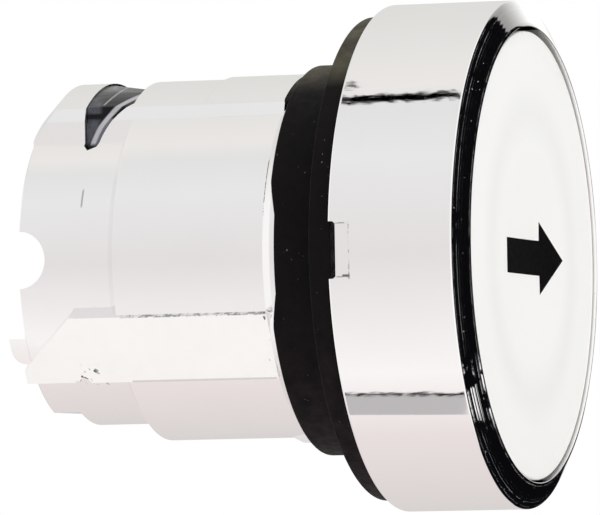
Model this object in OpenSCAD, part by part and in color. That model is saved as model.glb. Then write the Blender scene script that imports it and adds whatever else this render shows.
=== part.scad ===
// Panel-mounted push-button head with a metal bezel, a white arrow cap and a spring return.
// Local frame of each piece: X right and Y up as seen from the front, Z along the axis towards the
// user. Z = 0 is the plane where the panel presses on the gasket. axial() stands it in the shared frame.

/* [Bezel] */
// Outer diameter of the bezel
bezel_d = 29; // [28.6:0.1:30]
// Length of the bezel from its rear edge to the rim
bezel_len = 7.9; // [7.8:0.1:9]
// Inner diameter of the bezel at the rim
rim_d = 26; // [25.8:0.1:26.4]
// Axial length of the turned chamfer
chamfer_len = 0.72; // [0.6:0.02:1]
// Number of turned ridges on the chamfer
chamfer_ridges = 5; // [3:1:8]

/* [Panel gasket] */
// Diameter of the flange that the panel presses on
gasket_d = 27.7; // [27:0.1:28]
// Thickness of that flange
gasket_t = 1.3; // [1.2:0.05:1.5]
// Diameter of the spigot that centres in the panel hole
spigot_d = 22.4; // [22.1:0.1:22.6]
// Length of the spigot behind the flange
spigot_len = 3.25; // [2.8:0.05:3.25]

/* [Barrel] */
// Diameter of the main barrel
barrel_d = 20.26; // [20.2:0.02:20.4]
// Diameter of the rear section, where the fixing collar slides on
rear_d = 18.3; // [18.2:0.1:18.5]
// Diameter of the bore
bore_d = 16; // [15.9:0.1:16.1]
// Length of the barrel behind the panel seat
barrel_len = 18.87; // [18.8:0.01:19.2]
// Length of the rear section
rear_len = 5.85; // [5.7:0.05:6]
// Width of the two lower flats
flat_w = 4.18; // [4:0.02:4.6]

/* [Button] */
// Diameter of the cap
cap_d = 25.3; // [25.1:0.1:25.4]
// Depth of the shallow dish in the cap's face
dish_depth = 0.15; // [0.1:0.05:0.4]
// Diameter of the dish
dish_d = 17; // [16:0.5:20]
// Travel of the button
travel = 4.3; // [3:0.1:4.3]
// Length of the arrow
arrow_len = 11.4; // [9:0.1:12]
// Width of the arrow head
arrow_head_w = 4.2; // [3:0.1:5]
// Width of the arrow shaft
arrow_shaft_w = 2; // [1.4:0.1:2.4]

/* [Spring] */
// Diameter of the spring wire
wire_d = 0.7; // [0.5:0.05:0.7]
// Mean diameter of the coil
coil_d = 10.4; // [10:0.1:10.8]
// Number of turns
coil_turns = 6; // [5:0.5:6]

/* [Hidden] */
$fn = 96;
eps = 0.02;         // gap between pieces that only touch
cut = 1;            // overrun of a cutting solid

// Places along the axis
bezel_rear = gasket_t;
rim = bezel_rear + bezel_len;
floor_t = 0.8;                          // web of the bezel, held by the barrel's front flange
floor_front = bezel_rear + floor_t;
flange_front = floor_front + 0.5;
seal_seat = 0.4;                        // shoulder that the lip seal rests on
rear_end = -barrel_len;
step_crest = rear_end + rear_len + 0.2;
step_root = step_crest - 0.6;
flare_front = -spigot_len - eps;
flare_start = flare_front - 0.62;
rib_front = flare_start + 0.1;          // pads and ribs end just inside the flare
pad_step = -8.65;                       // small step up along the top pad
plate_rear = -15.4;
plate_front = -13.6;
washer_front = plate_front + 0.5;
piston_rear = -3.2;
piston_front = -0.2;
clip_front = plate_rear - 0.52;
clip_rear = clip_front - 0.46;
crown_front = clip_rear - eps;
crown_rear = crown_front - 1;
cap_face = rim - 0.2;
cap_under = cap_face - 1.35;
skirt_end = cap_face - 1.9;             // stays in front of the barrel's flange over the travel

// Radii
bezel_r = bezel_d / 2;
rim_r = rim_d / 2;
spigot_r = spigot_d / 2;
barrel_r = barrel_d / 2;
rear_r = rear_d / 2;
bore_r = bore_d / 2;
neck_r = 10.05;                         // barrel inside the gasket
flare_r = 10.8;
web_hole_r = 10.85;                     // hole in the bezel that the whole barrel passes through
barrel_flange_r = 11.9;
seal_bore_r = 9.4;
cap_r = cap_d / 2;
pad_r = barrel_r + 0.46;                // raised pad along the top
pad_front_r = barrel_r + 0.6;
root_r = bore_r + 0.55;                 // where pads and ribs start, inside the barrel's wall
sleeve_r = bore_r - 0.05;
guide_r = 6.8;                          // bore of the guide sleeve
piston_r = guide_r - 0.07;
plunger_neck_r = 5.8;
stem_r = 2.5;
clip_groove_r = 1.9;
stem_end_r = 2;
boss_r = 4.4;                           // hollow boss under the cap

// Colours
chrome = [0.86, 0.86, 0.87];
rubber = [0.07, 0.07, 0.075];
black_plastic = [0.05, 0.05, 0.055];
white_plastic = [0.94, 0.94, 0.92];
steel = [0.62, 0.63, 0.65];

// Stands a piece in the shared frame: the front faces -Y and the top faces +Z.
module axial() rotate([90, 0, 0]) children();

// Solid of revolution about the axis, from [radius, place] points.
module turned(points, angle = 360) rotate_extrude(angle = angle) polygon(points);

// Turns a child whose +X is radial to an angle seen from the front, 0 at 3 o'clock and 90 on top.
module at_angle(a) rotate([0, 0, a]) children();

// Extrudes an outline of [tangential, axial] points along the radius, from radius r0 to r1.
module radial_block(outline, r0, r1)
    translate([r0, 0, 0]) rotate([90, 0, 90]) linear_extrude(r1 - r0) polygon(outline);

// Extrudes an outline of [radial, axial] points across, centred, to a width.
module cross_block(outline, width)
    translate([0, width / 2, 0]) rotate([90, 0, 0]) linear_extrude(width) polygon(outline);

module ring(r_in, r_out, z0, z1)
    translate([0, 0, z0]) difference() {
        cylinder(r = r_out, h = z1 - z0);
        translate([0, 0, -cut]) cylinder(r = r_in, h = z1 - z0 + 2 * cut);
    }

module disc(r, z0, z1) translate([0, 0, z0]) cylinder(r = r, h = z1 - z0);

// ---- Bezel ----
groove_depth = 0.48;                    // groove for the O-ring, open to the hole in the web
groove_r = web_hole_r + 0.58;
// Fine tool marks run round the chamfer between its two rounded ends.
ridge_h = 0.01;
edge_break = 0.1;                       // small chamfer on a sharp edge
chamfer_start = [bezel_r - 0.07, rim - chamfer_len + 0.05];
chamfer_end = [rim_r + 0.18, rim];
chamfer_run = chamfer_end - chamfer_start;
chamfer_inward = [-chamfer_run[1], chamfer_run[0]] / norm(chamfer_run);
function chamfer_point(i) =
    chamfer_start + chamfer_run * i / (2 * chamfer_ridges) + (i % 2) * ridge_h * chamfer_inward;

module bezel() color(chrome) axial() difference() {
    turned(concat(
        [[web_hole_r, bezel_rear], [bezel_r - edge_break, bezel_rear],
         [bezel_r, bezel_rear + edge_break], [bezel_r, rim - chamfer_len - 0.05]],
        [for (i = [0 : 2 * chamfer_ridges]) chamfer_point(i)],
        [[rim_r + 0.06, rim - 0.02], [rim_r, rim - edge_break], [rim_r, floor_front],
         [groove_r, floor_front], [groove_r, floor_front - groove_depth],
         [web_hole_r, floor_front - groove_depth]]));
    for (a = [0, 180]) at_angle(a) bezel_notch();
}

// Keying notch in the rear edge for a legend plate, with a shallow pocket in front of it.
notch_w = 3.2;
notch_depth = 0.42;
pocket_front = 1.25;
module bezel_notch() {
    outside = bezel_r + cut;
    cross_block([[rim_r, bezel_rear - cut], [rim_r, bezel_rear + notch_depth],
        [outside, bezel_rear + notch_depth], [outside, bezel_rear - cut]], notch_w);
    cross_block([[bezel_r - 0.4, bezel_rear + notch_depth - 0.05],
        [bezel_r - 0.22, bezel_rear + pocket_front], [outside, bezel_rear + pocket_front],
        [outside, bezel_rear + notch_depth - 0.05]], notch_w - 0.3);
}

// ---- Panel gasket ----
gasket_r = gasket_d / 2;
spigot_lead = 0.15;                     // lead-in chamfer at the end of the spigot
// Shallow notches in that end at 3 and 9 o'clock. Tongues on the barrel's flare fill them, so that
// the gasket can't turn. The half widths are those of the mouth and the floor.
scallop_depth = 0.38;
scallop_mouth = 4.25;
scallop_floor = 2.2;
module scallop_block(clear, r0, r1) radial_block([
    [-scallop_mouth + 6 * clear, -spigot_len - clear], [-scallop_mouth + 6 * clear, -spigot_len - cut],
    [scallop_mouth - 6 * clear, -spigot_len - cut], [scallop_mouth - 6 * clear, -spigot_len - clear],
    [scallop_floor - 6 * clear, -spigot_len + scallop_depth - clear],
    [-scallop_floor + 6 * clear, -spigot_len + scallop_depth - clear]], r0, r1);

// Tab behind the spigot that lies in front of the pad, and the room for it in the barrel's flare.
module gasket_tab(clear, r, front) intersection() {
    ring(barrel_r + clear, r, rib_front + clear, front);
    translate([clear - pad_crest[0], 0, rib_front]) cube([2 * (pad_crest[0] - clear), spigot_r, 2]);
}

module panel_gasket() color(rubber) axial() difference() {
    union() {
        turned([[neck_r + eps, -spigot_len], [spigot_r - spigot_lead, -spigot_len],
            [spigot_r, -spigot_len + spigot_lead], [spigot_r, 0], [gasket_r - edge_break, 0],
            [gasket_r, edge_break], [gasket_r, gasket_t - eps], [neck_r + eps, gasket_t - eps]]);
        gasket_tab(eps, pad_front_r - eps, 0.3 - spigot_len);
    }
    for (a = [0, 180]) at_angle(a) scallop_block(0, neck_r - cut, spigot_r + cut);
}

o_ring_r = 0.23;
module bezel_o_ring() color(rubber) axial() rotate_extrude()
    translate([(web_hole_r + groove_r) / 2, floor_front - groove_depth / 2]) circle(r = o_ring_r, $fn = 32);

// ---- Barrel ----
snap_groove_r = bore_r + 0.4;
snap_front = plate_rear - 0.05;
snap_rear = snap_front - 0.55;

module barrel_shell() turned([
    [bore_r, rear_end], [rear_r - 0.1, rear_end], [rear_r, rear_end + 0.1],
    [rear_r, step_root], [barrel_r, step_crest], [barrel_r, flare_start],
    [flare_r, flare_front], [neck_r, flare_front], [neck_r, bezel_rear],
    [web_hole_r - eps, bezel_rear], [web_hole_r - eps, floor_front + eps],
    [barrel_flange_r, floor_front + eps], [barrel_flange_r, flange_front],
    [seal_bore_r, flange_front], [seal_bore_r, seal_seat], [bore_r, seal_seat],
    [bore_r, snap_front + eps], [snap_groove_r, snap_front + eps],
    [snap_groove_r, snap_rear - eps], [bore_r, snap_rear - eps]]);

// Pad along the top: upright walls, a narrow slanted shoulder and a conical face at its rear end.
pad_wall = [6.05, 8.12];                // half width of the walls and the height of their top edge
pad_crest = [5.8, 8.86];                // inner edge of the shoulder
pad_cone_r = 9.3;                       // radius where the 45 degree face starts, at the rear end
module pad_section(inset) polygon([[0, 0], [pad_wall[0] - inset, 0],
    [pad_wall[0] - inset, pad_wall[1] - inset], [pad_crest[0] - inset, pad_crest[1] - inset],
    [pad_crest[0] - inset, pad_r + cut], [inset - pad_crest[0], pad_r + cut],
    [inset - pad_crest[0], pad_crest[1] - inset], [inset - pad_wall[0], pad_wall[1] - inset],
    [inset - pad_wall[0], 0]]);
module top_pad() intersection() {
    turned([[root_r, rear_end], [pad_cone_r, rear_end], [pad_r, rear_end + pad_r - pad_cone_r],
        [pad_r, pad_step], [pad_front_r, pad_step + 0.2], [pad_front_r, rib_front],
        [root_r, rib_front]]);
    translate([0, 0, rear_end - cut]) linear_extrude(barrel_len + cut) intersection() {
        pad_section(0);
        translate([-pad_r, root_r / 2]) square([2 * pad_r, pad_r]);
    }
}

// Flat-topped locating rib. Its rear end is cut on the slant, the long edge at +side.
rib_rise = 0.09;
slant_len = 3.25;
slant_w = 3.3;
module locating_rib(side) {
    half = flat_w / 2;
    slant_high = rear_end + slant_len;
    slant_low = side * (slant_w - half);    // where the slant reaches the rear end
    radial_block([[-side * half, slant_high], [slant_low, rear_end], [side * half, rear_end],
        [side * half, rib_front], [-side * half, rib_front]], root_r, barrel_r - 0.02);
    for (tier = [[slant_high + 0.3, rib_rise / 2], [step_crest + 0.4, rib_rise]])
        radial_block([[-half, tier[0]], [half, tier[0]], [half, rib_front], [-half, rib_front]],
            root_r, barrel_r + tier[1]);
}

// Hook-shaped window cut across the top, as [height, distance from the rear end] points: an upright
// rear wall, a narrow foot and a front edge that curves away from it in an arc.
window_rear = 3.12;
window_foot = 6.42;                     // height of the foot
window_arc_centre = [4.76, 8.66];
window_arc_r = 5.13;
window_arc = [158.6, 122.3];            // where the arc starts and ends
window_steps = 9;
window_centre = [8.5, 4.4];
window_hook = concat([[pad_r + cut, window_rear], [window_foot + 0.28, window_rear],
    [window_foot, window_rear + 0.28]],
    [for (i = [0 : window_steps])
        let (a = window_arc[0] + (window_arc[1] - window_arc[0]) * i / window_steps)
        window_arc_centre + window_arc_r * [sin(a), cos(a)]],
    [[pad_r + cut, window_rear + 2.83]]);
function window_outline(shrink) = [for (p = window_hook)
    window_centre + shrink * (p - window_centre) + [0, rear_end]];

// Tab on the rear edge with one corner well rounded.
tab_top = 4.3;                          // level sides, this far and further below the axis
tab_w = 1.42;
tab_len = 1;
tab_corner_r = 0.7;
module rear_tab() intersection() {
    ring(bore_r + 0.05, rear_r - 0.1, rear_end - tab_len - cut, rear_end + 0.1);
    radial_block(concat([[tab_top, rear_end + 0.1], [tab_top, rear_end - tab_len]],
        [for (i = [0 : 6]) [tab_top + tab_w - tab_corner_r * (1 - sin(15 * i)),
            rear_end - tab_len + tab_corner_r * (1 - cos(15 * i))]],
        [[tab_top + tab_w, rear_end + 0.1]]), bore_r / 2, barrel_r);
}

// Small rib under the front end.
module front_rib() cross_block([[root_r, flare_front - 2], [barrel_r, flare_front - 2],
    [barrel_r + 0.3, flare_front - 1.4], [barrel_r + 0.4, flare_front],
    [root_r, flare_front]], 1.2);

flat_drop = 8.45;                       // distance of the rear flat from the axis
module barrel() color(chrome) axial() difference() {
    union() {
        barrel_shell();
        top_pad();
        at_angle(210) locating_rib(1);
        at_angle(330) locating_rib(-1);
        at_angle(180) rear_tab();
        mirror([0, 1, 0]) rear_tab();
        at_angle(270) front_rib();
        intersection() {
            ring(neck_r - 0.5, flare_r - 0.01, flare_front - 0.01, 0);
            for (a = [0, 180]) at_angle(a) scallop_block(eps, bore_r, spigot_r);
        }
    }
    at_angle(90) cross_block(window_outline(1), 2 * barrel_r);
    gasket_tab(0, spigot_r, 1 - spigot_len);
    // Half-round keying notches close to 3 and 9 o'clock.
    for (side = [-1, 1]) translate([side * (bore_r - cut), 0.15, rear_end])
        rotate([0, side * 90, 0]) cylinder(r = 1.65, h = 3);
    // Flat under the rear edge that ends in a 45 degree cone.
    difference() {
        at_angle(270) cross_block([[flat_drop, rear_end - cut], [flat_drop, rear_end + 2.5],
            [barrel_r, rear_end + 2.5], [barrel_r, rear_end - cut]], 9);
        turned([[0, rear_end + 1], [flat_drop, rear_end + 1], [flat_drop + 2, rear_end + 3],
            [0, rear_end + 3]]);
    }
    // Ejector pits at the lower edge of each rib.
    for (a = [210 + 11.8, 330 - 11.8]) at_angle(a) translate([9.2, 0, rear_end + 3.5])
        rotate([0, 90, 0]) cylinder(r = 0.35, h = 2);
}

// Key that fills the window and reaches into the rim of the rear guide plate.
key_lug_w = 3;
key_lug_r = 7.1;
key_lug_len = 0.7;
key_inset = 0.3;                        // the key's sides lie this far inside the barrel's surface
key_len = 7;
key_top = [10.93, 9.83];                // height of its sloping top at the rear and at the front
module guide_key() color(black_plastic) axial() union() {
    difference() {
        intersection() {
            at_angle(90) cross_block(window_outline(0.985), 2 * barrel_r);
            at_angle(90) cross_block([[0, rear_end], [key_top[0], rear_end],
                [key_top[1], rear_end + key_len], [0, rear_end + key_len]], 2 * barrel_r);
            union() {
                disc(rear_r - key_inset, rear_end, rear_end + key_len);
                intersection() {
                    disc(pad_r - 0.1, rear_end, rear_end + key_len);
                    translate([0, 0, rear_end]) linear_extrude(key_len) pad_section(key_inset);
                }
            }
        }
        disc(bore_r + 0.05, rear_end - cut, plate_front);
        // Relief over the snap ring, as deep as the ring's groove in the barrel.
        disc(snap_groove_r, snap_rear - eps, snap_front + eps);
    }
    translate([-key_lug_w / 2, key_lug_r, plate_rear + 0.4])
        cube([key_lug_w, bore_r + 0.4 - key_lug_r, key_lug_len]);
}

// ---- Inside the barrel ----
key_w = 1.8;
module guide_sleeve() color(black_plastic) axial() difference() {
    ring(guide_r, sleeve_r, plate_front + eps, seal_seat - eps);
    for (a = [0, 180]) at_angle(a) translate([0, -key_w / 2 - 0.1, piston_rear - travel - 0.3])
        cube([guide_r + 0.7, key_w + 0.2, 12]);
}

module lip_seal() color(rubber) axial() turned([
    [7, seal_seat + eps], [seal_bore_r - eps, seal_seat + eps],
    [seal_bore_r - eps, floor_front - 0.1], [6.4, floor_front - 0.1],
    [plunger_neck_r + 0.03, floor_front - 0.6], [plunger_neck_r + 0.03, floor_front - 0.9],
    [6.3, floor_front - 1.2]]);

module seal_retainer() color(black_plastic) axial()
    ring(plunger_neck_r + 0.4, seal_bore_r - eps, floor_front - 0.08, flange_front - 0.05);

module rear_guide_plate() color(black_plastic) axial() difference() {
    disc(sleeve_r, plate_rear, plate_front);
    disc(stem_r + 0.06, plate_rear - cut, plate_front + cut);
    // Slot in the rim for the key.
    translate([-key_lug_w / 2 - 0.02, key_lug_r - 0.02, plate_rear - cut])
        cube([key_lug_w + 0.04, 3, plate_front - plate_rear + cut - 0.38]);
    // Recess between the hub and the rim, with three lightening slots in its floor.
    difference() {
        disc(sleeve_r - 1.3, plate_rear - cut, plate_rear + 0.7);
        disc(4.6, plate_rear - 2 * cut, plate_front);
        for (a = [90 : 120 : 330]) at_angle(a) translate([0, -0.5, plate_rear - 2 * cut])
            cube([sleeve_r, 1, 4]);
    }
    for (a = [30 : 120 : 270]) at_angle(a) translate([5.7, 0, plate_rear - cut])
        cylinder(r = 0.8, h = 5);
}

eyelets = [246, 294];
eyelet_place = bore_r - 1.1;
module plate_snap_ring() color(steel) axial() translate([0, 0, snap_rear])
    linear_extrude(snap_front - snap_rear) difference() {
        union() {
            difference() {
                circle(snap_groove_r - 0.05);
                circle(bore_r - 0.7);
                rotate(270) translate([0, -1.6]) square([bore_r + cut, 3.2]);
            }
            for (a = eyelets) rotate(a) translate([eyelet_place, 0]) circle(0.9);
        }
        for (a = eyelets) rotate(a) translate([eyelet_place, 0]) circle(0.45);
    }

module spring_seat_washer() color(steel) axial()
    ring(stem_r + 0.4, guide_r - 0.2, plate_front + eps, washer_front);

// Compression spring: one closed turn at each end and an even pitch between them.
wire_r = wire_d / 2;
coil_r = coil_d / 2;
spring_low = washer_front + wire_r + eps;
spring_high = piston_rear - wire_r - eps;
closed_pitch = wire_d + 0.04;
steps_per_turn = 22;
wire_sides = 6;
spring_steps = coil_turns * steps_per_turn;
function coil_rise(turn) =
    turn < 1 ? turn * closed_pitch :
    turn > coil_turns - 1 ? spring_high - spring_low - (coil_turns - turn) * closed_pitch :
    closed_pitch + (turn - 1) * (spring_high - spring_low - 2 * closed_pitch) / (coil_turns - 2);
function wire_point(i, k) =
    let (a = 360 * i / steps_per_turn, b = 360 * k / wire_sides, r = coil_r + wire_r * cos(b))
    [r * cos(a), r * sin(a), spring_low + coil_rise(i / steps_per_turn) + wire_r * sin(b)];

module return_spring() color(steel) axial() polyhedron(
    points = [for (i = [0 : spring_steps], k = [0 : wire_sides - 1]) wire_point(i, k)],
    faces = concat(
        [[for (k = [0 : wire_sides - 1]) k]],
        [[for (k = [wire_sides - 1 : -1 : 0]) spring_steps * wire_sides + k]],
        [for (i = [0 : spring_steps - 1], k = [0 : wire_sides - 1])
            [i * wire_sides + k, (i + 1) * wire_sides + k,
             (i + 1) * wire_sides + (k + 1) % wire_sides, i * wire_sides + (k + 1) % wire_sides]]));

// ---- Button ----
dish_steps = 12;
dish_r = dish_d / 2;
function face_height(r) = cap_face - (r < dish_r ? dish_depth * (1 + cos(180 * r / dish_r)) / 2 : 0);
function face_points(n) = [for (i = [0 : n]) [dish_r * i / n, face_height(dish_r * i / n)]];
edge_r = 0.35;
function edge_arc(n) = [for (i = [0 : n])
    [cap_r - edge_r + edge_r * sin(90 * i / n), cap_face - edge_r + edge_r * cos(90 * i / n)]];

arrow_shift = 0.7;                      // middle of the arrow, to the right of the axis
arrow_drop = 0.16;                      // and below it
arrow_depth = 0.45;
arrow_neck_x = arrow_shift + 1.1;       // where the head starts
function arrow_outline() = let (tail = arrow_shift - arrow_len / 2, tip = arrow_shift + arrow_len / 2)
    [[tail, -arrow_shaft_w / 2], [arrow_neck_x, -arrow_shaft_w / 2],
     [arrow_neck_x, -arrow_head_w / 2], [tip, 0], [arrow_neck_x, arrow_head_w / 2],
     [arrow_neck_x, arrow_shaft_w / 2], [tail, arrow_shaft_w / 2]];

module arrow_prism() translate([0, -arrow_drop, cap_face - dish_depth - arrow_depth])
    linear_extrude(3) polygon(arrow_outline());

cap_ring_place = cap_under - 2.4;       // snap ring between the cap's boss and the plunger
cap_ring_half = 0.25;                   // half the width of its two grooves
boss_len = 4;
boss_t = 1;
boss_groove = 0.25;
skirt_t = 1.1;
module button_cap() color(white_plastic) axial() difference() {
    turned(concat(face_points(dish_steps), edge_arc(5),
        [[cap_r, skirt_end], [cap_r - skirt_t, skirt_end], [cap_r - skirt_t, cap_under],
         [boss_r, cap_under], [boss_r, cap_ring_place + cap_ring_half],
         [boss_r - boss_groove, cap_ring_place + cap_ring_half],
         [boss_r - boss_groove, cap_ring_place - cap_ring_half],
         [boss_r, cap_ring_place - cap_ring_half], [boss_r, cap_under - boss_len],
         [boss_r - boss_t, cap_under - boss_len], [boss_r - boss_t, cap_under], [0, cap_under]]));
    arrow_prism();
}

module arrow_inlay() color(black_plastic) axial() intersection() {
    arrow_prism();
    turned(concat(face_points(dish_steps), [[dish_r, cap_under], [0, cap_under]]));
}

module cap_snap_ring() color(steel) axial()
    rotate_extrude(angle = 325) translate([boss_r + 0.02, cap_ring_place]) circle(r = 0.22, $fn = 24);

socket_r = boss_r + 0.05;               // hole in the plunger that takes the cap's boss
screw_r = 0.8;
screw_head_r = 1.65;
screw_reach = 4;                        // depth of the screw's hole past the clip
stem_end = crown_rear + 0.45;
module plunger() color(black_plastic) axial() union() {
    turned([[screw_r + 0.02, stem_end], [stem_end_r, stem_end], [stem_end_r, clip_rear],
        [clip_groove_r, clip_rear], [clip_groove_r, clip_front], [stem_r, clip_front],
        [stem_r, piston_rear], [piston_r, piston_rear], [piston_r, piston_front],
        [plunger_neck_r, piston_front], [plunger_neck_r, cap_under - eps],
        [socket_r, cap_under - eps], [socket_r, cap_ring_place + cap_ring_half],
        [socket_r + 0.3, cap_ring_place + cap_ring_half],
        [socket_r + 0.3, cap_ring_place - cap_ring_half],
        [socket_r, cap_ring_place - cap_ring_half], [socket_r, cap_under - boss_len - 0.3],
        [0, cap_under - boss_len - 0.3], [0, clip_rear + screw_reach],
        [screw_r + 0.02, clip_rear + screw_reach]]);
    for (a = [0, 180]) at_angle(a) translate([piston_r - 1, -key_w / 2, piston_rear])
        cube([1.55, key_w, piston_front - piston_rear]);
}

module damper_ring() color(rubber) axial()
    ring(stem_r + eps, 4.2, clip_front + eps, plate_rear - eps);

module stem_clip() color(steel) axial() difference() {
    ring(clip_groove_r + eps, 4.4, clip_rear + eps, clip_front - eps);
    translate([-1.5, -6, clip_rear - cut]) cube([3, 6, 3]);
    for (side = [-1, 1]) translate([side * 2.75, 0.8, clip_rear - cut]) cylinder(r = 0.6, h = 3);
}

// Two-lobed plate that presses the contact blocks behind the panel.
crown_r = 6.6;
crown_hub_r = 3.6;
crown_w = 5.2;
module pusher_crown() color(black_plastic) axial() difference() {
    union() {
        disc(crown_hub_r, crown_rear, crown_front);
        intersection() {
            disc(crown_r, crown_rear, crown_front);
            translate([-crown_r, -crown_w / 2, crown_rear]) cube([2 * crown_r, crown_w, 3]);
        }
    }
    disc(stem_end_r + 0.03, stem_end, crown_front + cut);
    disc(screw_r + 0.15, crown_rear - cut, crown_front);
    disc(screw_head_r + 0.1, crown_rear - cut, crown_rear + 0.36);
    for (side = [-1, 1]) translate([side * 4.5, 0, crown_rear - cut]) cylinder(r = 0.7, h = 3);
}

drive_len = 2.2;                        // cross recess in the screw's head
drive_w = 0.36;
module crown_screw() color(steel) axial() difference() {
    union() {
        disc(screw_head_r, crown_rear + eps, crown_rear + 0.35);
        disc(screw_r, crown_rear + 0.3, clip_rear + screw_reach - 0.2);
    }
    for (a = [0, 90]) rotate([0, 0, a])
        translate([-drive_len / 2, -drive_w / 2, crown_rear - cut]) cube([drive_len, drive_w, cut + 0.22]);
}

bezel();
barrel();
panel_gasket();
bezel_o_ring();
guide_key();
guide_sleeve();
lip_seal();
seal_retainer();
rear_guide_plate();
plate_snap_ring();
spring_seat_washer();
return_spring();
button_cap();
arrow_inlay();
cap_snap_ring();
plunger();
damper_ring();
stem_clip();
pusher_crown();
crown_screw();
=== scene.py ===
import math

import bmesh
import bpy
from mathutils import Matrix, Vector


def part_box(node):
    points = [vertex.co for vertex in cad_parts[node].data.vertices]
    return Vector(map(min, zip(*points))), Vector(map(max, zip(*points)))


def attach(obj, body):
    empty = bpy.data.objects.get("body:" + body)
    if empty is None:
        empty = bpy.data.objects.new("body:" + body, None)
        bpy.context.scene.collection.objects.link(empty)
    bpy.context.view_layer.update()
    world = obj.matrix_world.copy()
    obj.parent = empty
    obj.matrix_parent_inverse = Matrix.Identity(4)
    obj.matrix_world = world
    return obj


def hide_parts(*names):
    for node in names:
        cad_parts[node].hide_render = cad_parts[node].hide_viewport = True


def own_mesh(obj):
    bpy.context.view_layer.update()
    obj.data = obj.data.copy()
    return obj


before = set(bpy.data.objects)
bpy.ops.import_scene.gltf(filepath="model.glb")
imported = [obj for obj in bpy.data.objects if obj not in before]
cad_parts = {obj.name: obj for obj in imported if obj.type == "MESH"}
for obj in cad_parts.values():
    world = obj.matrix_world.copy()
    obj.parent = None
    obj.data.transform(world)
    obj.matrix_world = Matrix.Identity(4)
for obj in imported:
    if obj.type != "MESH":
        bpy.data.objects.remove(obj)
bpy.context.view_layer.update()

MM = 0.001
TURN = 2 * math.pi


# ---------------------------------------------------------------- camera
CAM_TARGET = Vector((0.0, 4.891, 0.216)) * MM
CAM_DISTANCE = 450 * MM
CAM_AZIMUTH, CAM_ELEVATION, CAM_ROLL = (math.radians(a) for a in (-72.335, -2.2, -0.967))
CAM_SENSOR, CAM_LENS = 36, 469.66       # mm


def make_camera():
    data = bpy.data.cameras.new("camera")
    cam = bpy.data.objects.new("camera", data)
    bpy.context.scene.collection.objects.link(cam)
    back = Vector((math.sin(CAM_AZIMUTH) * math.cos(CAM_ELEVATION),
                   -math.cos(CAM_AZIMUTH) * math.cos(CAM_ELEVATION), math.sin(CAM_ELEVATION)))
    level = (-back).cross(Vector((0, 0, 1))).normalized()
    upright = level.cross(-back)
    right = math.cos(CAM_ROLL) * level + math.sin(CAM_ROLL) * upright
    up = math.cos(CAM_ROLL) * upright - math.sin(CAM_ROLL) * level
    cam.matrix_world = Matrix.Translation(CAM_TARGET + back * CAM_DISTANCE) @ Matrix(
        (right, up, back)).transposed().to_4x4()
    data.sensor_width, data.lens = CAM_SENSOR, CAM_LENS
    data.clip_start, data.clip_end = 0.01, 10
    bpy.context.scene.camera = cam


make_camera()


# ---------------------------------------------------------------- node helpers
class Nodes:
    """Short calls that add nodes to one tree. A socket is linked, and a number is set."""

    def __init__(self, tree):
        self.tree = tree
        tree.nodes.clear()

    def add(self, kind, inputs=(), out=0, **settings):
        node = self.tree.nodes.new(kind)
        for key, value in settings.items():
            setattr(node, key, value)
        for key, value in dict(inputs).items():
            if isinstance(value, bpy.types.NodeSocket):
                self.tree.links.new(value, node.inputs[key])
            else:
                node.inputs[key].default_value = value
        return node.outputs[out] if out is not None else node

    def math(self, operation, a, b=0.0, clamp=False):
        return self.add("ShaderNodeMath", {0: a, 1: b}, operation=operation, use_clamp=clamp)

    def spread(self, value, low, high, to_low=0.0, to_high=1.0):
        return self.add("ShaderNodeMapRange", {0: value, 1: low, 2: high, 3: to_low, 4: to_high})

    def ramp(self, value, stops, interpolation="LINEAR"):
        node = self.tree.nodes.new("ShaderNodeValToRGB")
        node.color_ramp.interpolation = interpolation
        elements = node.color_ramp.elements
        while len(elements) < len(stops):
            elements.new(0.5)
        for element, (place, colour) in zip(elements, stops):
            element.position = place
            element.color = (*colour, 1)
        self.tree.links.new(value, node.inputs[0])
        return node.outputs[0]

    def noise(self, where, per_mm, detail=2.0, roughness=0.5, out=0):
        inputs = {"Vector": where, "Scale": per_mm / MM, "Detail": detail, "Roughness": roughness}
        return self.add("ShaderNodeTexNoise", inputs, out=out)

    def split(self, vector):
        """The three coordinates of a vector."""
        return self.add("ShaderNodeSeparateXYZ", {0: vector}, out=None).outputs

    def product(self, *masks):
        """All the masks multiplied together."""
        result = masks[0]
        for mask in masks[1:]:
            result = self.math("MULTIPLY", result, mask)
        return result

    def strongest(self, *masks):
        """The largest of the masks at each point."""
        result = masks[0]
        for mask in masks[1:]:
            result = self.math("MAXIMUM", result, mask)
        return result

    def length(self, a, b):
        squares = self.math("ADD", self.math("MULTIPLY", a, a), self.math("MULTIPLY", b, b))
        return self.math("SQRT", squares)

    def near(self, value, middle, half, soft=0.04):
        """1 where the value is within half of the middle, in mm."""
        off = self.math("ABSOLUTE", self.math("SUBTRACT", value, middle * MM))
        return self.spread(off, (half + soft) * MM, half * MM)

    def between(self, value, low, high, soft=0.05):
        return self.near(value, (low + high) / 2, (high - low) / 2, soft)

    def mix(self, factor, a, b):
        node = self.tree.nodes.new("ShaderNodeMix")
        node.data_type = "RGBA"
        for key, value in ((0, factor), (6, a), (7, b)):
            if isinstance(value, bpy.types.NodeSocket):
                self.tree.links.new(value, node.inputs[key])
            else:
                node.inputs[key].default_value = value
        return node.outputs[2]


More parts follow.
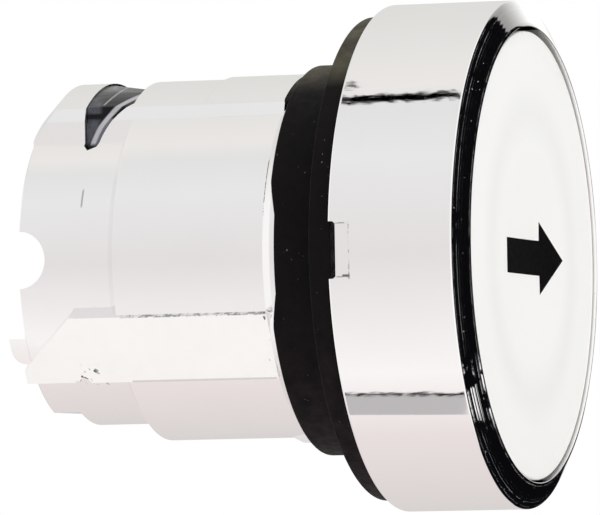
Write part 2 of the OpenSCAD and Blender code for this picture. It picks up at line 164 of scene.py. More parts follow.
# ---------------------------------------------------------------- light
# A pale room that the chrome sees round the axis.
# Each stop is the angle above the camera's side in degrees, and the light there.
ROOM = [(-180, (0.68, 0.65, 0.64)), (-90, (0.86, 0.79, 0.78)), (-55, (1.02, 0.99, 0.98)),
        (0, (0.82, 0.79, 0.79)), (45, (0.86, 0.86, 0.86)), (70, (0.81, 0.815, 0.81)),
        (82, (0.88, 0.86, 0.84)), (180, (0.72, 0.72, 0.70))]
REAR_WALL, FRONT_WALL, FAR_WALL = (1.08, 1.07, 1.05, 1), (1.08, 1.06, 1.04, 1), (1.1, 1.1, 1.09, 1)
BLACK_CLOTH, CLOTH_SHADE = (0.003, 0.003, 0.004, 1), (0.30, 0.30, 0.29, 1)
FRONT_CLOTH, FRONT_CLOTH_HALF = (0.321, -0.883, -0.342), 61.9   # black, in front: the chamfer sees it
LOW_CLOTH, LOW_CLOTH_HALF = (0.97, 0.0, -0.24), 17.0            # black, low on the far side
SHADE_WIDTH = 13.0                                              # degrees


def within(n, heading, centre, half_angle, soft=0.25):
    """1 inside a cone of directions, 0 outside, in degrees. Soft is half the edge's width."""
    facing = n.add("ShaderNodeVectorMath", {0: heading, 1: Vector(centre).normalized()},
                   out="Value", operation="DOT_PRODUCT")
    outer, inner = (math.cos(math.radians(half_angle + side * soft)) for side in (1, -1))
    return n.spread(facing, outer, inner)


def make_world():
    world = bpy.data.worlds.new("studio")
    bpy.context.scene.world = world
    world.use_nodes = True
    n = Nodes(world.node_tree)
    heading = n.add("ShaderNodeTexCoord", out="Generated")
    x, y, z = n.split(heading)
    around = n.math("ARCTAN2", z, n.math("MULTIPLY", x, -1.0))
    around = n.math("ADD", n.math("DIVIDE", around, TURN), 0.5)
    tone = n.ramp(around, [(angle / 360 + 0.5, light) for angle, light in ROOM])
    tone = n.mix(n.spread(y, 0.76, 0.88), tone, REAR_WALL)
    tone = n.mix(n.spread(y, -0.1, -0.4), tone, FRONT_WALL)
    # Grey beside the cloth in front, where the chamfer turns away.
    shade = within(n, heading, FRONT_CLOTH, FRONT_CLOTH_HALF + SHADE_WIDTH - 1, SHADE_WIDTH)
    shade = n.product(shade, n.spread(y, 0.2, 0.1), n.spread(x, 0.5, 0.7))
    tone = n.mix(shade, tone, CLOTH_SHADE)
    # A bright wall on the far side that fades towards the front.
    far_wall = n.product(n.spread(x, 0.86, 0.96), n.spread(y, 0.22, 0.12), n.spread(y, -0.4, -0.1))
    tone = n.mix(far_wall, tone, FAR_WALL)
    low_cloth = n.product(within(n, heading, LOW_CLOTH, LOW_CLOTH_HALF), n.spread(y, 0.2, 0.18))
    tone = n.mix(low_cloth, tone, BLACK_CLOTH)
    front_cloth = n.product(within(n, heading, FRONT_CLOTH, FRONT_CLOTH_HALF), n.spread(x, 0.1, 0.16))
    tone = n.mix(front_cloth, tone, BLACK_CLOTH)
    glossy = n.add("ShaderNodeBackground", {"Color": tone})
    soft = n.add("ShaderNodeBackground", {"Color": (0.86, 0.86, 0.86, 1)})
    white = n.add("ShaderNodeBackground", {"Color": (1, 1, 1, 1)})
    path = n.add("ShaderNodeLightPath", out=None)
    shader = n.add("ShaderNodeMixShader", {0: path.outputs["Is Glossy Ray"], 1: soft, 2: glossy})
    shader = n.add("ShaderNodeMixShader", {0: path.outputs["Is Camera Ray"], 1: shader, 2: white})
    n.add("ShaderNodeOutputWorld", {0: shader}, out=None)


make_world()
bpy.context.scene.view_settings.view_transform = "Standard"
bpy.context.scene.view_settings.look = "None"
bpy.context.scene.view_settings.exposure = 0
bpy.context.scene.view_settings.gamma = 1


def only_reflected(o):
    o.visible_camera = o.visible_diffuse = o.visible_shadow = False
    o.visible_transmission = o.visible_volume_scatter = False


def new_object(name, mesh):
    o = bpy.data.objects.new(name, mesh)
    bpy.context.scene.collection.objects.link(o)
    return o


def reflector(name, centre, width, length, slant, tone, ragged=0.0, skew=0.0):
    """A level card that only mirrors see, in mm.

    Slant moves it in X per mm of Y. Ragged bites its long edges. Skew draws out a front corner.
    """
    mesh = bpy.data.meshes.new(name)
    w, h = width / 2 * MM, length / 2 * MM
    lean = slant * h
    corners = [(-w - lean, -h, 0), (w - lean, -h - skew * MM, 0),
               (w + lean, h, 0), (-w + lean, h, 0)]
    mesh.from_pydata(corners, [], [(0, 1, 2, 3)])
    o = new_object(name, mesh)
    o.location = Vector(centre) * MM
    material = bpy.data.materials.new(name)
    material.use_nodes = True
    n = Nodes(material.node_tree)
    light = n.add("ShaderNodeEmission", {"Color": (*tone, 1)})
    if ragged:
        where = n.add("ShaderNodeTexCoord", out="Object")
        x, y, z = n.split(where)
        across = n.math("ABSOLUTE", n.math("SUBTRACT", x, n.math("MULTIPLY", y, slant)))
        drawn_out = n.add("ShaderNodeMapping", {"Vector": where, "Scale": (0.14, 1, 1)})
        bite = n.spread(n.noise(drawn_out, 1.7, 4, 0.7), 0.36, 0.64, 0, ragged * MM)
        hole = n.spread(n.math("ADD", across, bite), w - 0.1 * MM, w + 0.1 * MM)
        clear = n.add("ShaderNodeBsdfTransparent")
        light = n.add("ShaderNodeMixShader", {0: hole, 1: light, 2: clear})
    n.add("ShaderNodeOutputMaterial", {0: light}, out=None)
    mesh.materials.append(material)
    only_reflected(o)
    return o


FLOOR_HALF, FLOOR_Z = 3.0, -30 * MM


def make_floor():
    mesh = bpy.data.meshes.new("floor")
    signs = ((-1, -1), (1, -1), (1, 1), (-1, 1))
    corners = [(x * FLOOR_HALF, y * FLOOR_HALF, FLOOR_Z) for x, y in signs]
    mesh.from_pydata(corners, [], [(0, 1, 2, 3)])
    floor = new_object("floor", mesh)
    material = bpy.data.materials.new("floor")
    material.use_nodes = True
    n = Nodes(material.node_tree)
    where = n.add("ShaderNodeTexCoord", out="Object")
    colour = n.mix(n.noise(where, 0.02), (0.86, 0.86, 0.86, 1), (0.9, 0.9, 0.9, 1))
    shader = n.add("ShaderNodeBsdfPrincipled", {"Base Color": colour, "Roughness": 0.9})
    n.add("ShaderNodeOutputMaterial", {0: shader}, out=None)
    mesh.materials.append(material)
    floor.visible_glossy = False


def make_cards():
    """Cards above and below, seen as a dark streak and a grey band in the bezel and a bright rib."""
    high, low = 109, -103.6
    reflector("dark_streak_card", (-38.2, 26.9, high), 15.0, 9.4, -0.26, (0, 0, 0), ragged=6.5)
    reflector("speck_card", (-22, 30.2, high), 18.0, 2.4, -0.26, (0, 0, 0), ragged=15)
    reflector("grey_band_card", (-43.4, 26.8, low), 21.4, 10.6, -0.3, (0.54, 0.52, 0.525),
              skew=1.3)
    reflector("band_edge_card", (-54.0, 26.8, low + 0.6), 8.0, 10.4, -0.3, (0.01, 0.01, 0.01),
              ragged=5.5)
    reflector("rib_card", (-59.5, 42.0, -85.0), 9.0, 20.0, 0, (1.03, 1.01, 0.99))


def make_lamp():
    area = bpy.data.lights.new("soft_light", "AREA")
    area.size, area.energy = 0.5, 3.0
    lamp = bpy.data.objects.new("soft_light", area)
    lamp.location = (-0.35, -0.35, 0.6)
    lamp.rotation_euler = (-lamp.location).to_track_quat("-Z", "Y").to_euler()
    lamp.visible_glossy = False
    bpy.context.scene.collection.objects.link(lamp)


make_floor()
make_cards()
make_lamp()


# ---------------------------------------------------------------- materials
def surface(name):
    material = bpy.data.materials.new(name)
    material.use_nodes = True
    n = Nodes(material.node_tree)
    where = n.add("ShaderNodeTexCoord", out="Object")
    return material, n, where


def finish_surface(n, settings):
    shader = n.add("ShaderNodeBsdfPrincipled", settings)
    n.add("ShaderNodeOutputMaterial", {0: shader}, out=None)


def bumped(n, height, strength, distance_mm):
    inputs = {"Strength": strength, "Distance": distance_mm * MM, "Height": height}
    return n.add("ShaderNodeBump", inputs)


BEZEL_R = 14.5
NOTCH_HALF, NOTCH_END, POCKET_END = 1.6, 1.72, 2.55     # the bezel's key notch and its pocket
RIB_TOP_X, RIB_TOP_Z, RIB_FOOT_X, RIB_FOOT_Z = 9.4, -3.24, 7.6, -6.88   # the barrel ribs' edges
RIB_Y = (3.9, 12.5)
FLARE_Y = 3.88                                          # where the barrel starts to flare


def barrel_shade_lines_and_flaws(n, where):
    """Broken painted shade lines where the ribs and the flare meet the barrel, and a few casting pits.
    """
    x, y, z = n.split(where)
    aside = n.math("ABSOLUTE", x)
    near_side = n.spread(x, 0, -1 * MM)
    along_rib = n.between(y, *RIB_Y)
    speckle = n.noise(where, 2.6, 3, 0.7)
    # Painted shade lines along the ribs' top and foot edges and where the flare starts.
    rib_top_shade = n.product(n.near(z, RIB_TOP_Z, 0.07), along_rib,
                        n.spread(aside, RIB_TOP_X * MM, (RIB_TOP_X + 0.1) * MM),
                        n.spread(speckle, 0.46, 0.58, 0, 0.62))
    rib_foot_shade = n.product(n.near(z, RIB_FOOT_Z, 0.05), along_rib,
                         n.spread(aside, RIB_FOOT_X * MM, (RIB_FOOT_X + 0.1) * MM), 0.3)
    flare = n.product(n.near(y, FLARE_Y, 0.02, 0.02), n.between(z, 2.5, 5.3, 0.3),
                      n.spread(speckle, 0.40, 0.46, 0, 0.9))
    dotted_shade = n.product(n.near(y, FLARE_Y + 0.1, 0.12), n.between(z, -6.8, -3.2),
                       n.spread(speckle, 0.6, 0.64))
    pits = n.product(n.between(z, -6.7, -6.2, 0.4), n.between(y, 14.7, 15.5, 0.5),
                     n.spread(n.noise(where, 3.4, 2), 0.6, 0.64))
    scratch = n.product(n.near(y, 15.15, 0.03), n.between(z, 3.2, 4.0, 0.2), near_side, 0.5)
    return n.strongest(rib_top_shade, rib_foot_shade, flare, dotted_shade, pits, scratch)


def bezel_pocket_shade(n, where):
    """A patchy painted shade outline round the notch's pocket."""
    x, y, z = n.split(where)
    off_middle = n.math("ABSOLUTE", z)
    outside = n.spread(n.math("ABSOLUTE", x), (BEZEL_R - 0.4) * MM, (BEZEL_R - 0.3) * MM)
    front = n.product(n.near(y, -(POCKET_END - 0.02), 0.03, 0.03),
                      n.between(off_middle, -1.0, NOTCH_HALF))
    sides = n.product(n.near(off_middle, NOTCH_HALF - 0.1, 0.02, 0.03),
                      n.between(y, -POCKET_END, -NOTCH_END))
    dash = n.product(n.near(z, -(NOTCH_HALF - 0.16), 0.05),
                     n.between(y, -POCKET_END, -POCKET_END + 0.4), 0.8)
    # Noise that breaks up the painted shade outline.
    worn = n.spread(n.noise(where, 2.4, 3, 0.7), 0.46, 0.58, 0.05, 0.55)
    outline = n.product(n.strongest(front, sides), worn)
    return n.product(n.strongest(outline, dash), outside)


def chamfer_scuffs(n, where):
    """Fine turned lines on the chamfer, worn bright in one place, and specks of dust."""
    x, y, z = n.split(where)
    on_chamfer = n.spread(y, -8.5 * MM, -8.54 * MM)
    near_side = n.spread(x, 0, -1 * MM)
    line = n.noise(n.add("ShaderNodeCombineXYZ", {0: n.length(x, z)}), 7, 2, 0.6)
    patch = n.noise(where, 1.1, 3, 0.6)
    faint = n.product(n.spread(line, 0.56, 0.62, 0, 0.16), n.spread(patch, 0.38, 0.6))
    worn = n.product(n.spread(line, 0.5, 0.56), n.between(z, -9.0, -6.9, 1.1), near_side,
                     n.spread(patch, 0.44, 0.5))
    dust = n.spread(n.noise(where, 5, 1), 0.77, 0.8, 0, 0.5)
    return n.product(n.strongest(faint, worn, dust), on_chamfer)


def chrome_material(name, rough_low, rough_high, waviness, painted_shade_and_flaws=None, scuffs=None):
    material, n, where = surface(name)
    cloud = n.noise(where, 0.25, 3)
    colour = n.mix(cloud, (0.945, 0.94, 0.94, 1), (0.915, 0.91, 0.91, 1))
    # Near-black painted shade lines along edges; on the barrel the same colour also marks casting pits
    # and a scratch.
    if painted_shade_and_flaws:
        colour = n.mix(painted_shade_and_flaws(n, where), colour, (0.02, 0.022, 0.025, 1))
    rough = n.spread(n.noise(where, 1.5, 4), 0.3, 0.7, rough_low, rough_high)
    height = n.math("ADD", n.noise(where, 0.5, 2), n.math("MULTIPLY", n.noise(where, 8, 2), 0.04))
    metallic = n.math("SUBTRACT", 1.0, scuffs(n, where)) if scuffs else 1.0
    finish_surface(n, {"Base Color": colour, "Metallic": metallic, "Roughness": rough,
                       "Normal": bumped(n, height, waviness, 0.02)})
    return material


def rubber_material():
    material, n, where = surface("rubber")
    cloud = n.noise(where, 0.3, 3)
    colour = n.mix(cloud, (0.0028, 0.0026, 0.0030, 1), (0.006, 0.0045, 0.0048, 1))
    x, y, z = n.split(where)
    # Painted reflection: a brownish tint in patches on the lower side.
    low = n.product(n.spread(z, -2 * MM, -11 * MM), n.spread(n.noise(where, 0.9, 3), 0.35, 0.65))
    colour = n.mix(low, colour, (0.016, 0.0095, 0.011, 1))
    # Lighter grey-brown in patches towards the top.
    lighter_top = n.product(n.spread(z, 9.3 * MM, 10.6 * MM), n.spread(n.noise(where, 0.7, 3), 0.0, 0.8))
    colour = n.mix(lighter_top, colour, (0.085, 0.078, 0.055, 1))
    specks = n.spread(n.noise(where, 4.5, 1), 0.76, 0.8)
    colour = n.mix(specks, colour, (0.10, 0.09, 0.09, 1))
    rough = n.spread(n.noise(where, 2, 3), 0.3, 0.7, 0.5, 0.68)
    height = n.math("ADD", n.noise(where, 6, 4), n.math("MULTIPLY", n.noise(where, 0.6, 2), 0.6))
    finish_surface(n, {"Base Color": colour, "Roughness": rough, "Specular IOR Level": 0.07,
                       "Normal": bumped(n, height, 0.35, 0.03)})
    return material


def white_material():
    material, n, where = surface("white_plastic")
    cloud = n.noise(where, 0.12, 2)
    colour = n.mix(cloud, (0.93, 0.92, 0.90, 1), (0.91, 0.905, 0.885, 1))
    x, y, z = n.split(where)
    # Painted shade: a soft darker ring round the edge of the face's dish.
    dish_edge_shade = n.near(n.length(x, z), 8.2, 0.2, 1.6)
    colour = n.mix(dish_edge_shade, colour, (0.875, 0.87, 0.85, 1))
    rough = n.spread(n.noise(where, 3, 3), 0.3, 0.7, 0.3, 0.4)
    finish_surface(n, {"Base Color": colour, "Roughness": rough, "Specular IOR Level": 0.4,
                       "Subsurface Weight": 0.08, "Subsurface Scale": 0.4 * MM,
                       "Subsurface Radius": (1.0, 0.8, 0.6),
                       "Normal": bumped(n, n.noise(where, 9, 3), 0.12, 0.01)})
    return material


def black_material(name, tone, rough_low, rough_high, level):
    material, n, where = surface(name)
    cloud = n.noise(where, 0.5, 3)
    colour = n.mix(cloud, (*(c * 0.8 for c in tone), 1), (*(c * 1.3 for c in tone), 1))
    rough = n.spread(n.noise(where, 3, 3), 0.3, 0.7, rough_low, rough_high)
    finish_surface(n, {"Base Color": colour, "Roughness": rough, "Specular IOR Level": level,
                       "Normal": bumped(n, n.noise(where, 7, 3), 0.2, 0.01)})
    return material


HOOK_Y, HOOK_Z, HOOK_R = 10.21, 4.76, 5.13      # centre and radius of the window's front arc


def key_material():
    """Glossy black plastic with painted highlights along the flutes and painted grey-blue reflections
    in a few patches.
    """
    material, n, where = surface("guide_key")
    x, y, z = n.split(where)
    away = n.length(n.math("SUBTRACT", y, HOOK_Y * MM), n.math("SUBTRACT", z, HOOK_Z * MM))
    cloud = n.noise(where, 1.4, 3)
    colour = n.mix(cloud, (0.003, 0.003, 0.004, 1), (0.012, 0.012, 0.014, 1))
    # Painted reflection: a lighter grey-blue patch at the rear.
    rear = n.product(n.between(y, 15.1, 15.75, 0.3), n.between(z, 7.0, 9.4, 0.3),
                     n.spread(cloud, 0.3, 0.6))
    colour = n.mix(rear, colour, (0.08, 0.085, 0.10, 1))
    # Painted reflection: a grey-blue band just outside the window's arc.
    low = n.product(n.between(away, HOOK_R, HOOK_R + 0.24, 0.1), n.between(z, 6.9, 8.3, 0.3))
    colour = n.mix(low, colour, (0.15, 0.15, 0.175, 1))
    # A darker line along the key at 8.4 mm height.
    colour = n.mix(n.near(z, 8.4, 0.1, 0.12), colour, (0.006, 0.006, 0.008, 1))
    # Painted highlight along the crest of the first flute.
    crest_highlight = n.product(n.near(away, HOOK_R + 0.42, 0.09, 0.09), n.between(z, 6.9, 9.75, 0.2))
    colour = n.mix(crest_highlight, colour, (0.5, 0.5, 0.53, 1))
    # Painted highlight: a slanting grey line on the upper part.
    slanting_highlight = n.near(n.math("ADD", y, n.math("MULTIPLY", z, 0.45)), 18.9, 0.05)
    colour = n.mix(n.product(slanting_highlight, n.spread(z, 9.0 * MM, 9.1 * MM)), colour, (0.3, 0.3, 0.32, 1))
    rough = n.spread(n.noise(where, 3, 3), 0.3, 0.7, 0.16, 0.28)
    finish_surface(n, {"Base Color": colour, "Metallic": 0.75, "Roughness": rough,
                       "Normal": bumped(n, n.noise(where, 2, 2), 0.3, 0.02)})
    return material


def steel_material():
    material, n, where = surface("spring_steel")
    cloud = n.noise(where, 0.8, 3)
    colour = n.mix(cloud, (0.50, 0.50, 0.51, 1), (0.62, 0.61, 0.60, 1))
    stretched = n.add("ShaderNodeMapping", {"Vector": where, "Scale": (1, 6, 1)})
    rough = n.spread(n.noise(stretched, 2, 4), 0.3, 0.7, 0.22, 0.38)
    finish_surface(n, {"Base Color": colour, "Metallic": 1.0, "Roughness": rough,
                       "Normal": bumped(n, n.noise(stretched, 6, 3), 0.15, 0.01)})
    return material


CHROME = chrome_material("chrome", 0.02, 0.045, 0.07, bezel_pocket_shade, chamfer_scuffs)
CAST_CHROME = chrome_material("cast_chrome", 0.08, 0.14, 0.3, barrel_shade_lines_and_flaws)
RUBBER = rubber_material()
WHITE = white_material()
ARROW = black_material("arrow_black", (0.0025, 0.0025, 0.003), 0.55, 0.65, 0.04)
BLACK = black_material("black_plastic", (0.014, 0.014, 0.016), 0.22, 0.36, 0.5)
KEY = key_material()
STEEL = steel_material()

NODE_FINISH = {
    "bezel": CHROME, "barrel": CAST_CHROME, "panel_gasket": RUBBER, "bezel_o_ring": RUBBER,
    "guide_key": KEY, "guide_sleeve": BLACK, "lip_seal": RUBBER, "seal_retainer": BLACK,
    "rear_guide_plate": BLACK, "plate_snap_ring": STEEL, "spring_seat_washer": STEEL,
    "return_spring": STEEL, "button_cap": WHITE, "arrow_inlay": ARROW, "cap_snap_ring": STEEL,
    "plunger": BLACK, "damper_ring": RUBBER, "stem_clip": STEEL, "pusher_crown": BLACK,
    "crown_screw": STEEL}
for node_name, node_material in NODE_FINISH.items():
    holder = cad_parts[node_name].material_slots[0]
    holder.link = "OBJECT"
    holder.material = node_material


# ---------------------------------------------------------------- shapes
def rounded(corners, segments=6):
    """(radius, place) points from (radius, place, fillet) corners of a closed outline."""
    points = []
    for i, corner in enumerate(corners):
        here, fillet = Vector(corner[:2]), (corner[2] if len(corner) > 2 else 0)
        if not fillet:
            points.append(tuple(here))
            continue
        before = (Vector(corners[i - 1][:2]) - here).normalized()
        after = (Vector(corners[(i + 1) % len(corners)][:2]) - here).normalized()
        half = before.angle(after) / 2
        reach = fillet / math.tan(half)
        centre = here + (before + after).normalized() * (fillet / math.sin(half))
        first, last = here + before * reach - centre, here + after * reach - centre
        turn = first.angle_signed(last)
        for k in range(segments + 1):
            a = -turn * k / segments
            points.append((centre.x + first.x * math.cos(a) - first.y * math.sin(a),
                           centre.y + first.x * math.sin(a) + first.y * math.cos(a)))
    return points


def turned(name, outline, steps=256):
    """Solid of revolution about the axis, from a closed outline of (radius, place to the front)."""
    shape = bmesh.new()
    rings = []
    for r, place in outline:
        if r < 1e-6:
            rings.append([shape.verts.new((0, -place * MM, 0))] * steps)
        else:
            angles = (TURN * k / steps for k in range(steps))
            rings.append([shape.verts.new((r * MM * math.cos(a), -place * MM, r * MM * math.sin(a)))
                          for a in angles])
    for i, ring in enumerate(rings):
        other = rings[(i + 1) % len(rings)]
        for k in range(steps):
            after = (k + 1) % steps
            corners = list(dict.fromkeys((ring[k], ring[after], other[after], other[k])))
            if len(corners) > 2:
                shape.faces.new(corners)
    return to_object(name, shape)


def to_object(name, shape):
    bmesh.ops.recalc_face_normals(shape, faces=shape.faces)
    mesh = bpy.data.meshes.new(name)
    shape.to_mesh(mesh)
    shape.free()
    return new_object(name, mesh)


def prism(name, outline, low, high, put):
    """Straight prism. put(u, v, w) gives the place in mm of outline point (u, v) at height w."""
    shape = bmesh.new()
    bottom, top = ([shape.verts.new(Vector(put(u, v, w)) * MM) for u, v in outline]
                   for w in (low, high))
    shape.faces.new(bottom)
    shape.faces.new(top)
    for i in range(len(outline)):
        j = (i + 1) % len(outline)
        shape.faces.new((bottom[i], bottom[j], top[j], top[i]))
    return to_object(name, shape)


def combine(target, tool, operation="DIFFERENCE"):
    """Cuts or joins the tool into the target's mesh and removes the tool."""
    step = target.modifiers.new("combine", "BOOLEAN")
    step.object, step.operation, step.solver = tool, operation, "EXACT"
    evaluated = target.evaluated_get(bpy.context.evaluated_depsgraph_get())
    mesh = bpy.data.meshes.new_from_object(evaluated)
    target.modifiers.clear()
    target.data = mesh
    bpy.data.objects.remove(tool)


def dress(o, material, body, slot, *nodes, edge_mm=0.0):
    """Gives a piece its finish, soft edges and place in the model."""
    o.data.materials.clear()
    o.data.materials.append(material)
    o.data.shade_smooth()
    o.data.set_sharp_from_angle(angle=math.radians(35))
    if edge_mm:
        soft = o.modifiers.new("edges", "BEVEL")
        soft.width, soft.segments, soft.limit_method = edge_mm * MM, 3, "ANGLE"
        soft.angle_limit = math.radians(50)
        soft.miter_outer = "MITER_ARC"
    flat = o.modifiers.new("normals", "WEIGHTED_NORMAL")
    flat.keep_sharp = True
    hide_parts(*nodes)
    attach(o, body)
    return o


# ---------------------------------------------------------------- bezel
RIM_R, RIM = 13.0, 9.2
GASKET_T = 1.3
CHAMFER_START, CHAMFER_END = Vector((14.4, 8.51)), Vector((13.12, 9.2))
GROOVES, GROOVE_STEPS, GROOVE_DEPTH = 5, 8, 0.001
BORE_R, FLOOR_R, BORE_FLOOR, STEP = 10.85, 11.43, 2.1, 1.62
POCKET_DEPTH, POCKET_RISE = 0.18, 0.08


def chamfer_line():
    """The chamfer's outline with fine turned grooves, from its outer end to the rim."""
    run = CHAMFER_END - CHAMFER_START
    inward = Vector((-run.y, run.x)).normalized()
    points = []
    last = GROOVE_STEPS * GROOVES
    for k in range(last + 1):
        wave = (1 - math.cos(TURN * k / GROOVE_STEPS)) / 2
        along = 0.06 + 0.88 * k / last
        points.append(tuple(CHAMFER_START + run * along - inward * GROOVE_DEPTH * wave))
    return points


def make_bezel():
    outline = rounded([(BORE_R, GASKET_T, 0.05), (BEZEL_R, GASKET_T, 0.16), (BEZEL_R, 8.45, 0.12),
                       (*CHAMFER_START, 0)])[:-1]
    outline += chamfer_line() + [(RIM_R + 0.03, RIM), (RIM_R, RIM - 0.02)]
    outline += [(RIM_R, BORE_FLOOR), (FLOOR_R, BORE_FLOOR), (FLOOR_R, STEP), (BORE_R, STEP)]
    bezel = turned("bezel_shell", outline)
    for side in (-1, 1):
        notch = rounded([(GASKET_T - 0.5, -NOTCH_HALF), (NOTCH_END, -NOTCH_HALF, 0.18),
                         (NOTCH_END, NOTCH_HALF, 0.18), (GASKET_T - 0.5, NOTCH_HALF)])
        combine(bezel, prism("notch", notch, RIM_R - 0.1, BEZEL_R + 0.5,
                             lambda s, z, x, side=side: (side * x, -s, z)))
        floor = [(BEZEL_R - POCKET_DEPTH, NOTCH_END - 0.3),
                 (BEZEL_R - POCKET_DEPTH + POCKET_RISE, POCKET_END),
                 (BEZEL_R + 0.5, POCKET_END), (BEZEL_R + 0.5, NOTCH_END - 0.3)]
        combine(bezel, prism("pocket", floor, -NOTCH_HALF + 0.1, NOTCH_HALF - 0.1,
                             lambda x, s, z, side=side: (side * x, -s, z)))
    return dress(bezel, CHROME, "housing", "chrome", "bezel", edge_mm=0.04)


# ---------------------------------------------------------------- panel gasket
SPIGOT_R, SPIGOT_BORE, SPIGOT_LEN, GASKET_R = 11.2, 10.07, 3.25, 13.85
FLANGE_FRONT = GASKET_T - 0.02
SCALLOP_MOUTH, SCALLOP_FLOOR, SCALLOP_DEPTH = 4.25, 2.2, 0.38
TAB_HALF, TAB_END, TAB_R = 5.78, 3.77, (10.16, 10.71)


def make_gasket():
    gasket = turned("panel_gasket_body", rounded([
        (SPIGOT_BORE, -SPIGOT_LEN, 0.03), (SPIGOT_R, -SPIGOT_LEN, 0.13), (SPIGOT_R, 0.0, 0.06),
        (GASKET_R, 0.0, 0.1), (GASKET_R, FLANGE_FRONT, 0.06), (SPIGOT_BORE, FLANGE_FRONT, 0.03)]))
    scallop_end = SCALLOP_DEPTH - SPIGOT_LEN
    for side in (-1, 1):
        scallop = [(-SPIGOT_LEN - 0.5, -SCALLOP_MOUTH), (-SPIGOT_LEN, -SCALLOP_MOUTH),
                   (scallop_end, -SCALLOP_FLOOR), (scallop_end, SCALLOP_FLOOR),
                   (-SPIGOT_LEN, SCALLOP_MOUTH), (-SPIGOT_LEN - 0.5, SCALLOP_MOUTH)]
        combine(gasket, prism("scallop", scallop, 8.0, 12.0,
                              lambda s, z, x, side=side: (side * x, -s, z)))
    half = math.asin(TAB_HALF / 10.4)
    arc = [-half + 2 * half * k / 32 for k in range(33)]
    inner, outer = TAB_R
    tab = ([(outer * math.sin(a), outer * math.cos(a)) for a in arc] +
           [(inner * math.sin(a), inner * math.cos(a)) for a in reversed(arc)])
    tongue = prism("tab", tab, 0.3 - SPIGOT_LEN, -TAB_END, lambda x, z, s: (x, -s, z))
    combine(gasket, tongue, "UNION")
    return dress(gasket, RUBBER, "housing", "rubber", "panel_gasket", edge_mm=0.05)


# ---------------------------------------------------------------- cap
CAP_R, CAP_FACE, CAP_UNDER, SKIRT_END = 12.8, 9.0, 7.65, 7.1
CAP_PLAY = (0.06, -0.05)                # the cap hangs a little to one side in its bore
CAP_WALL = 1.2
HUB_R, HUB_BORE, HUB_GROOVE_R = 4.4, 3.4, 4.15      # the hub behind the face, and its ring's groove
HUB_LEN, GROOVE_AT, GROOVE_LEN = 4.0, 2.15, 0.5
DISH_R, DISH_DEPTH, DISH_STEPS = 8.5, 0.15, 24
ARROW_LEN, ARROW_HEAD, ARROW_SHAFT, ARROW_SHIFT, ARROW_DROP = 11.4, 4.2, 2.0, 0.7, 0.16


def face_line():
    """The dished face, from its centre to the dish's edge."""
    shares = [k / DISH_STEPS for k in range(DISH_STEPS + 1)]
    return [(DISH_R * share, CAP_FACE - DISH_DEPTH * (1 + math.cos(math.pi * share)) / 2)
            for share in shares]


def arrow_prism():
    tail, tip, neck = ARROW_SHIFT - ARROW_LEN / 2, ARROW_SHIFT + ARROW_LEN / 2, ARROW_SHIFT + 1.1
    shaft, head = ARROW_SHAFT / 2, ARROW_HEAD / 2
    outline = [(tail, -shaft), (neck, -shaft), (neck, -head), (tip, 0), (neck, head),
               (neck, shaft), (tail, shaft)]
    return prism("arrow", outline, CAP_FACE - DISH_DEPTH - 0.45, CAP_FACE + 0.5,
                 lambda x, z, s: (x, -s, z - ARROW_DROP))


def make_cap():
    edge = rounded([(0, CAP_FACE), (CAP_R, CAP_FACE, 0.12), (CAP_R, SKIRT_END)])[1:]
    groove = [CAP_UNDER - GROOVE_AT, CAP_UNDER - GROOVE_AT - GROOVE_LEN]
    hub = [(HUB_R, CAP_UNDER), (HUB_R, groove[0]), (HUB_GROOVE_R, groove[0]),
           (HUB_GROOVE_R, groove[1]), (HUB_R, groove[1]), (HUB_R, CAP_UNDER - HUB_LEN),
           (HUB_BORE, CAP_UNDER - HUB_LEN), (HUB_BORE, CAP_UNDER), (0, CAP_UNDER)]
    skirt = [(CAP_R - CAP_WALL, SKIRT_END), (CAP_R - CAP_WALL, CAP_UNDER)]
    cap = turned("cap_shell", face_line() + edge + skirt + hub)
    for vertex in cap.data.vertices:
        vertex.co += Vector((CAP_PLAY[0], 0, CAP_PLAY[1])) * MM
    combine(cap, arrow_prism())
    return dress(cap, WHITE, "button", "white_plastic", "button_cap")


def make_arrow():
    arrow = turned("arrow_mark", face_line() + [(DISH_R, CAP_UNDER), (0, CAP_UNDER)])
    combine(arrow, arrow_prism(), "INTERSECT")
    return dress(arrow, ARROW, "button", "arrow_black", "arrow_inlay")


# ---------------------------------------------------------------- key
def copied(node, name):
    """A new piece with a CAD node's own shape, its seams joined."""
    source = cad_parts[node]
    shape = bmesh.new()
    shape.from_mesh(source.data)
    bmesh.ops.transform(shape, matrix=source.matrix_world, verts=shape.verts)
    bmesh.ops.remove_doubles(shape, verts=shape.verts, dist=0.0005 * MM)
    bmesh.ops.dissolve_degenerate(shape, edges=shape.edges, dist=0.0002 * MM)
    return to_object(name, shape)


FLUTES = ((0.34, 0.52), (0.9, 1.0))         # how far outside the window's arc each one starts and ends
FLUTE_ARC, FLUTE_STEPS, FLUTE_HALF = (98, 153), 12, 8.9
FLUTE_R, FLUTE_Y = (7.9, 8.93), (9.0, 15.8)


def hook_arc(r, angles):
    return [(HOOK_Y - r * math.cos(a), HOOK_Z + r * math.sin(a)) for a in angles]


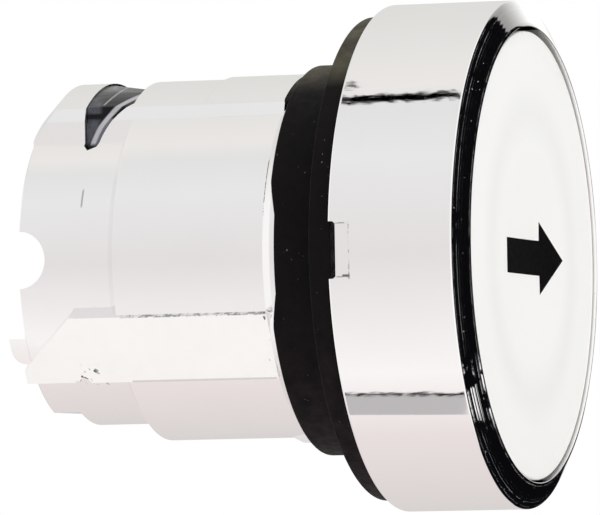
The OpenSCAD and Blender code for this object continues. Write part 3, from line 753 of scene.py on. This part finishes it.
def make_key():
    """The key, with two curved flutes that follow the window's edge."""
    key = copied("guide_key", "key_flutes")
    start, end = FLUTE_ARC
    angles = [math.radians(start + (end - start) * k / FLUTE_STEPS) for k in range(FLUTE_STEPS + 1)]
    (inner, outer), (front, rear) = FLUTE_R, FLUTE_Y
    for near_edge, far_edge in FLUTES:
        band = hook_arc(HOOK_R + near_edge, angles) + hook_arc(HOOK_R + far_edge, angles[::-1])
        flute = prism("flute", band, -FLUTE_HALF, FLUTE_HALF, lambda y, z, x: (x, y, z))
        limit = turned("limit", [(inner, -front), (outer, -front), (outer, -rear), (inner, -rear)])
        combine(flute, limit, "INTERSECT")
        combine(key, flute, "UNION")
    return dress(key, KEY, "housing", "black_plastic", "guide_key", edge_mm=0.03)


# ---------------------------------------------------------------- spring
WIRE_R, WIRE_SIDES = 0.35, 12
COIL_TURNS, STEPS_PER_TURN = 6, 44
CLOSED_PITCH = 2 * WIRE_R + 0.04


def make_spring():
    """Compression spring with one closed turn at each end."""
    low, high = (Vector(corner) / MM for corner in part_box("return_spring"))
    coil_r = high.x - WIRE_R
    run = high.y - low.y - 2 * WIRE_R
    open_pitch = (run - 2 * CLOSED_PITCH) / (COIL_TURNS - 2)
    shape = bmesh.new()
    rings = []
    for i in range(COIL_TURNS * STEPS_PER_TURN + 1):
        turn = i / STEPS_PER_TURN
        rise = min(turn, 1) * CLOSED_PITCH + min(max(turn - 1, 0), COIL_TURNS - 2) * open_pitch
        rise += max(turn - COIL_TURNS + 1, 0) * CLOSED_PITCH
        ring = []
        for k in range(WIRE_SIDES):
            a, b = TURN * turn, TURN * k / WIRE_SIDES
            r = coil_r + WIRE_R * math.cos(b)
            place = high.y - WIRE_R - rise - WIRE_R * math.sin(b)
            ring.append(shape.verts.new(Vector((r * math.cos(a), place, r * math.sin(a))) * MM))
        rings.append(ring)
    for ring, following in zip(rings, rings[1:]):
        for k in range(WIRE_SIDES):
            other = (k + 1) % WIRE_SIDES
            shape.faces.new((ring[k], ring[other], following[other], following[k]))
    shape.faces.new(rings[0])
    shape.faces.new(rings[-1])
    spring = dress(to_object("spring_coil", shape), STEEL, "housing", "spring_steel", "return_spring")
    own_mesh(spring)


make_bezel()
make_key()
make_gasket()
make_cap()
make_arrow()
make_spring()
